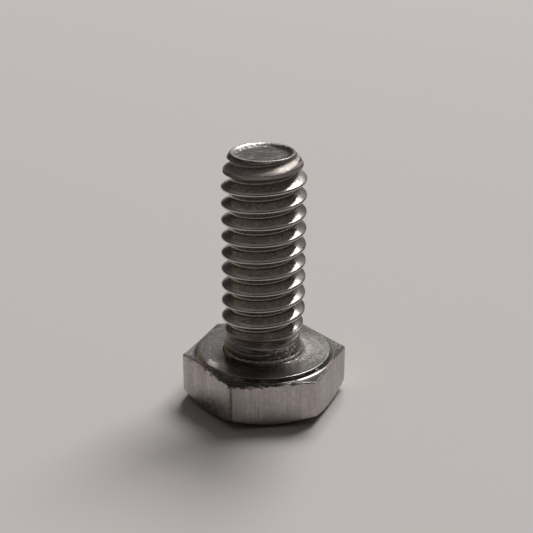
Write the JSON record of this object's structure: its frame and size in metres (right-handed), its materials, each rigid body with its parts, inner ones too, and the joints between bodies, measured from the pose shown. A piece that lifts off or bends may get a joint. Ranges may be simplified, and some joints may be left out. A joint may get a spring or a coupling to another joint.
{
  "type": "hex cap screw",
  "caption": "Short hex cap screw for clamping parts: a chamfered hexagonal head with a raised washer face, turned by a wrench, on a coarse-threaded shank with a tapered, dished point.",
  "frame": {"origin": "middle of the head's outer face, which the screw stands on", "axes": "+Z along the screw's axis from the head to the threaded point; two opposite corners of the hexagon lie on the X axis, so two flats face -Y and +Y"},
  "size_m": [0.0124, 0.0108, 0.0194],
  "materials": {
    "stainless_steel": "bare cold-headed stainless steel: satin drawn flats, bright rolled thread, light stains and scuffs"
  },
  "bodies": {
    "root": {"hex_cap_screw": "stainless_steel"}
  },
  "joints": []
}
